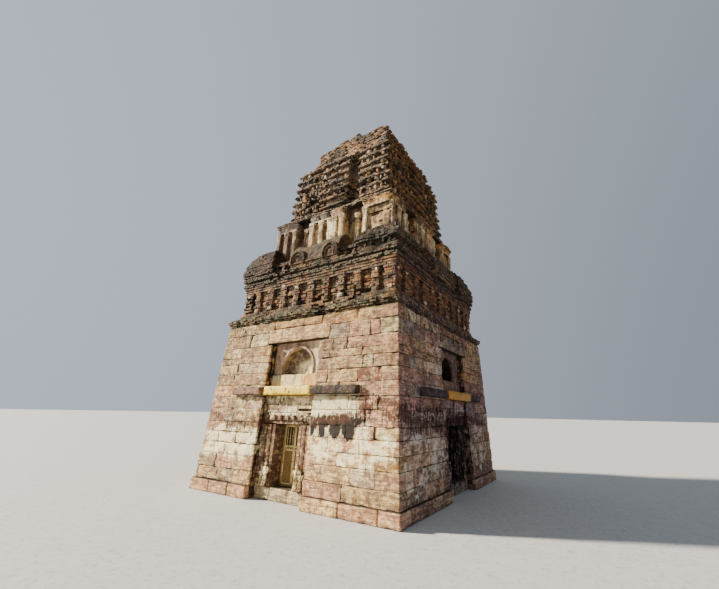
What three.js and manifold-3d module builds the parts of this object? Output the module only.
// A square South Indian hindu temple: a hollow stone storey under a solid, ruined brick tower.
// Millimetres, +Z up, with the origin at the centre of the base. The gated front faces -Y, the open doorway +X.
import * as THREE from 'three';
import { mergeVertices } from 'three/addons/utils/BufferGeometryUtils.js';
import Module from 'manifold-3d';

const wasm = await Module();
wasm.setup();

// Driving dimensions of the stone storey
const PLINTH_HALF = 3500;
const PLINTH_TOP = 300;
const WALL_FOOT_HALF = 3430;
const WALL_HEAD_HALF = 3230;
const WALL_TOP = 4700;
const CELLA_HALF = 1750;
const CLEAR = 0.3;

// Driving dimensions of the recessed bay in the middle of each face
const BAY_HALF = 940;
const BAY_TOP = 4030;
const BAY_FACE = 3050;
const FRAME_FACE = 3230;
const DOOR_HALF = 425;
const DOOR_HEAD = 1820;
const DOOR_POCKET = 320;
const BEAM_FOOT = 2550;
const BEAM_HEAD = 2780;
const BEAM_FACE = 3480;
const BEAM_SHY = 150;
const EAVE_REACH = 2260;
const ARCH_RADIUS = 560;
const ARCH_SILL = 3110;
const ARCH_SPRING = 3300;
const NICHE_DEPTH = 250;

// Driving dimensions of the brick tower
const TIER_FOOT = 5050;
const TIER_HEAD = 6150;
const LEDGE_FOOT = 6700;
const LEDGE_TOP = 6850;
const STOREY_HEAD = 8130;
const FRIEZE_HEAD = 8650;
const CROWN_FOOT = 8850;
const CROWN_HEAD = 11200;
const SUMMIT_TOP = 12200;
const CORNER_SHRINE = 1200;

// Driving dimensions of the steel gate in the front doorway
const GATE_BACK = 2830;
const GATE_DEPTH = 40;
const GATE_POST = 35;
const GATE_SILL_GAP = 10;
const LEAF_THICK = 30;
const LEAF_TUBE = 32;
const HINGE_RADIUS = 9;

// The four faces: quarter turns from the front, place of the bay along the face, and names of its two ends
const FACES = {
  front: { turns: 0, bay: -120, ends: ['left', 'right'], corners: true, door: true },
  right: { turns: 1, bay: 250, ends: ['front', 'rear'], corners: false, door: true },
  back: { turns: 2, bay: 0, ends: ['right', 'left'], corners: true, door: false },
  left: { turns: 3, bay: 0, ends: ['rear', 'front'], corners: false, door: false },
};

const materials = {
  sandstone: new THREE.MeshStandardMaterial({ color: 0xb08f74, roughness: 0.95, metalness: 0 }),
  carved_stone: new THREE.MeshStandardMaterial({ color: 0x8e6a56, roughness: 0.95, metalness: 0 }),
  dark_eave_stone: new THREE.MeshStandardMaterial({ color: 0x574a43, roughness: 0.95, metalness: 0 }),
  yellow_beam_paint: new THREE.MeshStandardMaterial({ color: 0xd9b25a, roughness: 0.8, metalness: 0 }),
  weathered_brick: new THREE.MeshStandardMaterial({ color: 0x80563d, roughness: 1, metalness: 0 }),
  lime_plaster: new THREE.MeshStandardMaterial({ color: 0xbb9566, roughness: 0.95, metalness: 0 }),
  mossy_moulding: new THREE.MeshStandardMaterial({ color: 0x4d453b, roughness: 1, metalness: 0 }),
  gate_paint: new THREE.MeshStandardMaterial({ color: 0xc79a35, roughness: 0.5, metalness: 0.3 }),
};

const temple = new THREE.Group();

function addPiece(name, geometry, material) {
  const mesh = new THREE.Mesh(geometry, materials[material]);
  mesh.name = name;
  temple.add(mesh);
}

// Shape helpers: every one gives a closed geometry in place

function box(x0, x1, y0, y1, z0, z1) {
  const geometry = new THREE.BoxGeometry(x1 - x0, y1 - y0, z1 - z0);
  return geometry.translate((x0 + x1) / 2, (y0 + y1) / 2, (z0 + z1) / 2);
}

function outline(points) {
  return new THREE.Shape(points.map(([x, y]) => new THREE.Vector2(x, y)));
}

function extrude(shape, depth) {
  return new THREE.ExtrudeGeometry(shape, { depth, bevelEnabled: false, curveSegments: 12 });
}

// A plan outline raised from z0 to z1
function raised(points, z0, z1) {
  return extrude(outline(points), z1 - z0).translate(0, 0, z0);
}

// A shape drawn as a front view (x, z) and carried back from one depth to a nearer one
function frontal(shape, depthNear, depthFar) {
  const standing = new THREE.Matrix4().set(1, 0, 0, 0, 0, 0, -1, 0, 0, 1, 0, 0, 0, 0, 0, 1);
  return extrude(shape, depthFar - depthNear).applyMatrix4(standing).translate(0, -depthNear, 0);
}

// A square moulding: a profile of [half width, height] turned with four sides
function squareMoulding(profile) {
  const radii = profile.map(([half, z]) => new THREE.Vector2(half * Math.SQRT2, z));
  const points = [new THREE.Vector2(0, profile[0][1]), ...radii, new THREE.Vector2(0, profile.at(-1)[1])];
  const upright = new THREE.Matrix4().set(1, 0, 0, 0, 0, 0, -1, 0, 0, 1, 0, 0, 0, 0, 0, 1);
  return new THREE.LatheGeometry(points, 4, Math.PI / 4).applyMatrix4(upright);
}

function quarterTurned(geometry, turns) {
  const cos = [1, 0, -1, 0][turns];
  const sin = [0, 1, 0, -1][turns];
  const turn = new THREE.Matrix4().set(cos, -sin, 0, 0, sin, cos, 0, 0, 0, 0, 1, 0, 0, 0, 0, 1);
  return geometry.applyMatrix4(turn);
}

function solid(geometry) {
  const bare = geometry.clone();
  bare.deleteAttribute('normal');
  bare.deleteAttribute('uv');
  const merged = mergeVertices(bare, 1e-3);
  const vertProperties = new Float32Array(merged.attributes.position.array);
  const triVerts = new Uint32Array(merged.index.array);
  return new wasm.Manifold(new wasm.Mesh({ numProp: 3, vertProperties, triVerts }));
}

function shown(manifold) {
  const mesh = manifold.getMesh();
  const geometry = new THREE.BufferGeometry();
  geometry.setAttribute('position', new THREE.BufferAttribute(new Float32Array(mesh.vertProperties), 3));
  geometry.setIndex(new THREE.BufferAttribute(new Uint32Array(mesh.triVerts), 1));
  geometry.computeVertexNormals();
  return geometry;
}

function joined(...geometries) {
  return shown(geometries.map(solid).reduce((whole, next) => whole.add(next)));
}

function cut(geometry, ...cutters) {
  return shown(cutters.map(solid).reduce((rest, cutter) => rest.subtract(cutter), solid(geometry)));
}

// Half width of the leaning stone wall at a height
function wallHalf(z) {
  return WALL_FOOT_HALF - ((z - PLINTH_TOP) * (WALL_FOOT_HALF - WALL_HEAD_HALF)) / (WALL_TOP - PLINTH_TOP);
}

// Leans every corner that lies on the foot line of the wall to the wall's half width at its height
function leaning(geometry) {
  const position = geometry.attributes.position;
  for (let i = 0; i < position.count; i += 1) {
    const half = wallHalf(position.getZ(i));
    const x = position.getX(i);
    const y = position.getY(i);
    if (Math.abs(Math.abs(x) - WALL_FOOT_HALF) < 1) position.setX(i, Math.sign(x) * half);
    if (Math.abs(Math.abs(y) - WALL_FOOT_HALF) < 1) position.setY(i, Math.sign(y) * half);
  }
  geometry.computeVertexNormals();
  return geometry;
}

// The stone storey

function bayEdge(face, side) {
  return face.bay + side * BAY_HALF;
}

function buildPlinth() {
  const { front, right, back, left } = FACES;
  const corners = {
    plinth_front_left: [-PLINTH_HALF, bayEdge(front, -1), -PLINTH_HALF, -bayEdge(left, 1)],
    plinth_front_right: [bayEdge(front, 1), PLINTH_HALF, -PLINTH_HALF, bayEdge(right, -1)],
    plinth_back_right: [-bayEdge(back, -1), PLINTH_HALF, bayEdge(right, 1), PLINTH_HALF],
    plinth_back_left: [-PLINTH_HALF, -bayEdge(back, 1), -bayEdge(left, -1), PLINTH_HALF],
  };
  for (const [name, [x0, x1, y0, y1]] of Object.entries(corners)) {
    addPiece(name, box(x0, x1, y0, y1, 0, PLINTH_TOP), 'sandstone');
  }
  const floor = [
    [bayEdge(front, -1), -CELLA_HALF], [bayEdge(front, 1), -CELLA_HALF],
    [bayEdge(front, 1), bayEdge(right, -1)], [CELLA_HALF, bayEdge(right, -1)],
    [CELLA_HALF, bayEdge(right, 1)], [-bayEdge(back, -1), bayEdge(right, 1)],
    [-bayEdge(back, -1), CELLA_HALF], [-bayEdge(back, 1), CELLA_HALF],
    [-bayEdge(back, 1), -bayEdge(left, -1)], [-CELLA_HALF, -bayEdge(left, -1)],
    [-CELLA_HALF, -bayEdge(left, 1)], [bayEdge(front, -1), -bayEdge(left, 1)],
  ];
  addPiece('cella_floor', raised(floor, 0, PLINTH_TOP), 'sandstone');
}

function buildWallBlocks(faceName, face) {
  const outer = face.corners ? WALL_FOOT_HALF : CELLA_HALF;
  for (const side of [-1, 1]) {
    const inner = bayEdge(face, side);
    const [u0, u1] = side < 0 ? [-outer, inner] : [inner, outer];
    const block = box(u0, u1, -WALL_FOOT_HALF, -CELLA_HALF, PLINTH_TOP, WALL_TOP);
    const end = face.ends[side < 0 ? 0 : 1];
    addPiece(`${faceName}_wall_${end}`, quarterTurned(leaning(block), face.turns), 'sandstone');
  }
}

// Outline of the arched window or niche, as a front view
function archOutline(centre) {
  const path = new THREE.Shape();
  path.moveTo(centre - ARCH_RADIUS, ARCH_SILL);
  path.lineTo(centre + ARCH_RADIUS, ARCH_SILL);
  path.lineTo(centre + ARCH_RADIUS, ARCH_SPRING);
  path.absarc(centre, ARCH_SPRING, ARCH_RADIUS, 0, Math.PI, false);
  path.lineTo(centre - ARCH_RADIUS, ARCH_SILL);
  return path;
}

// The door frame, or the false door that repeats it on a side without a doorway
function buildDoorway(faceName, face) {
  const [u0, u1] = [bayEdge(face, -1), bayEdge(face, 1)];
  const [d0, d1] = [face.bay - DOOR_HALF, face.bay + DOOR_HALF];
  const place = (name, geometry, material) => {
    addPiece(`${faceName}_${name}`, quarterTurned(geometry, face.turns), material);
  };
  if (!face.door) {
    const panel = box(u0, u1, -FRAME_FACE, -CELLA_HALF, 0, BEAM_FOOT);
    const pocket = box(d0, d1, -FRAME_FACE - 100, -FRAME_FACE + DOOR_POCKET, PLINTH_TOP, DOOR_HEAD);
    place('false_door', cut(panel, pocket), 'carved_stone');
    return;
  }
  place('threshold', box(u0, u1, -FRAME_FACE, -CELLA_HALF, 0, PLINTH_TOP), 'carved_stone');
  [[u0, d0], [d1, u1]].forEach(([a, b], i) => {
    place(`jamb_${face.ends[i]}`, box(a, b, -FRAME_FACE, -CELLA_HALF, PLINTH_TOP, DOOR_HEAD), 'carved_stone');
  });
  place('door_lintel', box(u0, u1, -FRAME_FACE, -CELLA_HALF, DOOR_HEAD, BEAM_FOOT), 'carved_stone');
}

// The wall over the door under a great lintel: a blind arched niche, or a window cut through on the right face
function buildUpperBay(faceName, face) {
  const [u0, u1] = [bayEdge(face, -1), bayEdge(face, 1)];
  const open = faceName === 'right';
  const wall = box(u0, u1, -BAY_FACE, -CELLA_HALF, BEAM_FOOT, BAY_TOP);
  const lintel = leaning(box(u0, u1, -WALL_FOOT_HALF, -CELLA_HALF, BAY_TOP, WALL_TOP));
  const arch = archOutline(face.bay);
  const niche = open
    ? frontal(arch, CELLA_HALF - 100, BAY_FACE + 100)
    : frontal(arch, BAY_FACE - NICHE_DEPTH, BAY_FACE + 100);
  const name = open ? 'window_wall' : 'niche_wall';
  if (face.door) {
    addPiece(`${faceName}_${name}`, quarterTurned(cut(wall, niche), face.turns), 'lime_plaster');
    addPiece(`${faceName}_great_lintel`, quarterTurned(lintel, face.turns), 'sandstone');
    return;
  }
  const seated = box(u0, u1, -BAY_FACE, -CELLA_HALF, BAY_TOP - 1, BAY_TOP + 1);
  const whole = joined(cut(wall, niche), seated, lintel);
  addPiece(`${faceName}_${name}`, quarterTurned(whole, face.turns), 'sandstone');
}

// The projecting eave beams across each face, level with the top of the door frame
function buildEaves(faceName, face) {
  const [u0, u1] = [bayEdge(face, -1), bayEdge(face, 1)];
  const back = -(wallHalf(BEAM_FOOT) + CLEAR);
  const dark = (name, geometry) => addPiece(name, quarterTurned(geometry, face.turns), 'dark_eave_stone');
  if (face.door) {
    const ends = [[-EAVE_REACH, u0], [u1, EAVE_REACH]];
    const start = faceName === 'front' ? u0 + BEAM_SHY : u0;
    const yellow = box(start, u1, -BEAM_FACE, -BAY_FACE, BEAM_FOOT, BEAM_HEAD);
    addPiece(`${faceName}_yellow_beam`, quarterTurned(yellow, face.turns), 'yellow_beam_paint');
    ends.forEach(([a, b], i) => {
      dark(`${faceName}_eave_${face.ends[i]}`, box(a, b, -BEAM_FACE, back, BEAM_FOOT, BEAM_HEAD));
    });
    return;
  }
  const plan = [
    [-EAVE_REACH, -BEAM_FACE], [EAVE_REACH, -BEAM_FACE], [EAVE_REACH, back], [u1 - CLEAR, back],
    [u1 - CLEAR, -BAY_FACE], [u0 + CLEAR, -BAY_FACE], [u0 + CLEAR, back], [-EAVE_REACH, back],
  ];
  dark(`${faceName}_eave`, raised(plan, BEAM_FOOT, BEAM_HEAD));
}

// The brick tower

// A square plan whose four sides stand forward over the given [from, to, depth] stretches, listed left to right
function steppedPlan(recess, stretches) {
  const side = [];
  for (const [a, b, depth] of stretches) {
    if (a > -depth) side.push([a, -recess], [a, -depth]);
    else side.push([-depth, -depth]);
    if (b < depth) side.push([b, -depth], [b, -recess]);
  }
  const turn = ([x, y], k) => [[x, y], [-y, x], [-x, -y], [y, -x]][k];
  return [0, 1, 2, 3].flatMap((k) => side.map((point) => turn(point, k)));
}

function buildLowerCornice() {
  const profile = [
    [3200, WALL_TOP], [3200, 4780], [3290, 4840], [3290, 4920], [3150, 4990], [3080, TIER_FOOT],
  ];
  addPiece('lower_cornice', squareMoulding(profile), 'mossy_moulding');
}

// Brick tier with a row of pilasters between a base band and a head band
function buildPilasterTier() {
  const [core, face, width, spacing] = [2890, 2990, 230, 588];
  const corner = 1.5 * width;
  const pilasters = [[-face, corner - face, face]];
  for (let i = -4; i <= 4; i += 1) pilasters.push([i * spacing - width / 2, i * spacing + width / 2, face]);
  pilasters.push([face - corner, face, face]);
  const plan = steppedPlan(core, pilasters);
  const shaft = raised(plan, TIER_FOOT + 130, TIER_HEAD - 150);
  const foot = squareMoulding([[3040, TIER_FOOT], [3010, TIER_FOOT + 131]]);
  const head = squareMoulding([[3000, TIER_HEAD - 151], [3050, TIER_HEAD]]);
  addPiece('pilaster_tier', joined(foot, shaft, head), 'weathered_brick');
}

function buildMiddleCornice() {
  const profile = [
    [3060, TIER_HEAD], [3110, 6200], [3110, 6270], [2960, 6330], [2960, 6400],
    [3090, 6440], [3090, 6520], [2980, 6580], [2980, 6640], [3040, LEDGE_FOOT],
  ];
  addPiece('middle_cornice', squareMoulding(profile), 'mossy_moulding');
}

// Plan of the plastered second storey: corner bays and a middle bay with recesses between
function storeyPlan(grow) {
  const [corner, middle, recess] = [2420 + grow, 2450 + grow, 2250 + grow];
  const [inner, half] = [1450 - grow, 780 + grow];
  return steppedPlan(recess, [[-corner, -inner, corner], [-half, half, middle], [inner, corner, corner]]);
}

// The layers of a corner shrine, which has a dome unless its upper courses have fallen
function cornerShrine(sx, sy, fallen) {
  const middle = 3020 - CORNER_SHRINE / 2;
  const layer = (half, z0, z1) => box(-half, half, -half, half, z0, z1).translate(sx * middle, sy * middle, 0);
  if (fallen) return [layer(500, LEDGE_TOP - 1, 6961), layer(600, 6960, 7250)];
  const dome = squareMoulding([[400, 7390], [440, 7460], [400, 7560], [250, 7680], [90, 7740]]);
  dome.translate(sx * middle, sy * middle, 0);
  return [layer(540, LEDGE_TOP - 1, 7100), layer(600, 7099, 7200), layer(480, 7199, 7400), dome];
}

// A long shrine with a barrel vault and a round gable, turned from the front
function barrelShrine(turns) {
  const [half, foot, radius] = [860, 7100, 310];
  const centre = 2700;
  const vault = new THREE.CylinderGeometry(radius, radius, 2 * half, 12).rotateZ(Math.PI / 2);
  vault.translate(0, -centre, foot + 40);
  const base = box(-half - 60, half + 60, -centre - radius - 30, -centre + radius - 60, LEDGE_TOP - 1, foot);
  const gable = new THREE.CylinderGeometry(260, 260, 90, 12);
  gable.translate(0, centre + radius + 10, 0);
  gable.rotateX(Math.PI).translate(0, 0, foot + 120);
  return [quarterTurned(base, turns), quarterTurned(vault, turns), quarterTurned(gable, turns)];
}

function buildParapet() {
  const ledge = squareMoulding([[3040, LEDGE_FOOT], [3080, 6740], [3080, 6800], [3000, LEDGE_TOP]]);
  const shrines = [];
  for (const [sx, sy] of [[-1, -1], [1, -1], [1, 1], [-1, 1]]) {
    shrines.push(...cornerShrine(sx, sy, sx > 0 && sy < 0));
  }
  for (const turns of [0, 1, 2, 3]) shrines.push(...barrelShrine(turns));
  const footprint = raised(storeyPlan(CLEAR), LEDGE_TOP, LEDGE_TOP + 1500);
  addPiece('parapet_shrines', cut(joined(ledge, ...shrines), footprint), 'mossy_moulding');
}

function buildUpperStorey() {
  addPiece('upper_storey', raised(storeyPlan(0), LEDGE_TOP, STOREY_HEAD), 'lime_plaster');
  const lower = raised(storeyPlan(25), STOREY_HEAD, STOREY_HEAD + 261);
  const upper = raised(storeyPlan(60), STOREY_HEAD + 260, FRIEZE_HEAD);
  addPiece('bracket_frieze', joined(lower, upper), 'lime_plaster');
  const profile = [[2500, FRIEZE_HEAD], [2540, 8690], [2540, 8760], [2330, CROWN_FOOT]];
  addPiece('upper_cornice', squareMoulding(profile), 'mossy_moulding');
}

// The crown: bands of brick, each with a projecting lip, in three lifts, with a cleft in the front face
function buildCrown() {
  const [bands, groove, footHalf, headHalf] = [7, 90, 2260, 2110];
  const height = (CROWN_HEAD - CROWN_FOOT) / bands;
  const lifts = { crown_lower: [0, 2], crown_middle: [2, 5], crown_upper: [5, 7] };
  const cleft = box(480, 930, -2400, -1880, CROWN_FOOT + 150, 10700);
  for (const [name, [from, to]] of Object.entries(lifts)) {
    const profile = [];
    for (let i = from; i < to; i += 1) {
      const z = CROWN_FOOT + i * height;
      const half = footHalf - ((footHalf - headHalf) * i) / (bands - 1);
      profile.push([half - groove, z], [half - groove, z + 0.45 * height]);
      profile.push([half, z + 0.55 * height], [half, z + 0.85 * height], [half - groove, z + height]);
    }
    const lift = squareMoulding(profile);
    addPiece(name, from < 5 ? cut(lift, cleft) : lift, 'weathered_brick');
  }
}

// The broken top, highest near the middle, as two skylines crossed
function buildSummit() {
  const across = [
    [-2020, CROWN_HEAD], [2020, CROWN_HEAD], [2020, 11620], [1850, 11960], [1380, 12030], [980, 11940],
    [420, SUMMIT_TOP], [0, 12160], [-600, 11940], [-1080, 11860], [-1160, 11330], [-2020, 11240],
  ];
  const deep = [
    [-2020, CROWN_HEAD], [2020, CROWN_HEAD], [2020, 11320], [1500, 11500], [900, 11960],
    [300, SUMMIT_TOP], [-1500, SUMMIT_TOP], [-2020, 12060],
  ];
  const skyline = frontal(outline(across), -2020, 2020);
  const depth = quarterTurned(frontal(outline(deep), -2020, 2020), 1);
  addPiece('broken_summit', shown(solid(skyline).intersect(solid(depth))), 'weathered_brick');
}

// The gate: a fixed steel frame and two leaves that swing inward on the inner face of the frame

const GATE_CENTRE = FACES.front.bay;
const GATE_FOOT = PLINTH_TOP;
const HINGE_X = DOOR_HALF - GATE_POST - 2;
const HINGE_Y = -GATE_BACK + HINGE_RADIUS + 3;
const HINGE_HEIGHTS = [560, 1480];
const HINGE_LENGTH = 60;

function gateBar(x0, x1, z0, z1, y0, y1) {
  return box(GATE_CENTRE + x0, GATE_CENTRE + x1, y0, y1, z0, z1);
}

function hingeBarrel(side, z0, z1) {
  const barrel = new THREE.CylinderGeometry(HINGE_RADIUS, HINGE_RADIUS, z1 - z0, 12).rotateX(Math.PI / 2);
  return barrel.translate(GATE_CENTRE + side * HINGE_X, HINGE_Y, (z0 + z1) / 2);
}

function buildGateFrame() {
  const [y0, y1] = [-GATE_BACK - GATE_DEPTH, -GATE_BACK];
  const outer = DOOR_HALF;
  const inner = DOOR_HALF - GATE_POST;
  const bars = [
    gateBar(-outer, -inner, GATE_FOOT, DOOR_HEAD, y0, y1),
    gateBar(inner, outer, GATE_FOOT, DOOR_HEAD, y0, y1),
    gateBar(-outer, outer, DOOR_HEAD - GATE_POST, DOOR_HEAD, y0, y1),
    gateBar(-outer, outer, GATE_FOOT, GATE_FOOT + 25, y0, y1),
  ];
  for (const side of [-1, 1]) {
    for (const z of HINGE_HEIGHTS) {
      const [near, far] = [side * (HINGE_X - 3), side * outer];
      bars.push(gateBar(Math.min(near, far), Math.max(near, far), z - 14, z - CLEAR, y1 - 10, HINGE_Y + 6));
      bars.push(hingeBarrel(side, z - HINGE_LENGTH, z - CLEAR));
    }
  }
  addPiece('gate_frame', joined(...bars), 'gate_paint');
}

// One leaf: tube border, sheet with ribs below, two close rails, and upright bars above
function buildGateLeaf(name, side) {
  const [near, far] = [3, DOOR_HALF - GATE_POST - 10];
  const [z0, z1] = [GATE_FOOT + 25 + GATE_SILL_GAP, DOOR_HEAD - GATE_POST - GATE_SILL_GAP];
  const y0 = -GATE_BACK - GATE_DEPTH + 5;
  const y1 = y0 + LEAF_THICK;
  const rails = [1140, 1235];
  const bar = (u0, u1, a, b, front = y0, rear = y1) => {
    return gateBar(Math.min(side * u0, side * u1), Math.max(side * u0, side * u1), a, b, front, rear);
  };
  const parts = [
    bar(near, near + LEAF_TUBE, z0, z1),
    bar(far - LEAF_TUBE, far, z0, z1),
    bar(near, far, z0, z0 + LEAF_TUBE),
    bar(near, far, z1 - LEAF_TUBE, z1),
    bar(near + 5, far - 5, z0 + 5, rails[0] + 5, y0 + 12, y0 + 17),
  ];
  for (const z of rails) parts.push(bar(near + 1, far - 1, z, z + LEAF_TUBE));
  const bars = 4;
  for (let i = 1; i < bars; i += 1) {
    const u = near + (i * (far - near)) / bars;
    parts.push(bar(u - 8, u + 8, rails[0] + 1, z1 - 1, y0 + 7, y0 + 23));
  }
  for (const z of HINGE_HEIGHTS) {
    parts.push(hingeBarrel(side, z, z + HINGE_LENGTH));
    parts.push(bar(far - LEAF_TUBE + 1, HINGE_X - 3, z + 12, z + 48, y1 - 1, HINGE_Y));
  }
  addPiece(name, joined(...parts), 'gate_paint');
}

buildPlinth();
for (const [faceName, face] of Object.entries(FACES)) {
  buildWallBlocks(faceName, face);
  buildDoorway(faceName, face);
  buildUpperBay(faceName, face);
  buildEaves(faceName, face);
}
buildLowerCornice();
buildPilasterTier();
buildMiddleCornice();
buildParapet();
buildUpperStorey();
buildCrown();
buildSummit();
buildGateFrame();
buildGateLeaf('gate_leaf_left', -1);
buildGateLeaf('gate_leaf_right', 1);

export default temple;
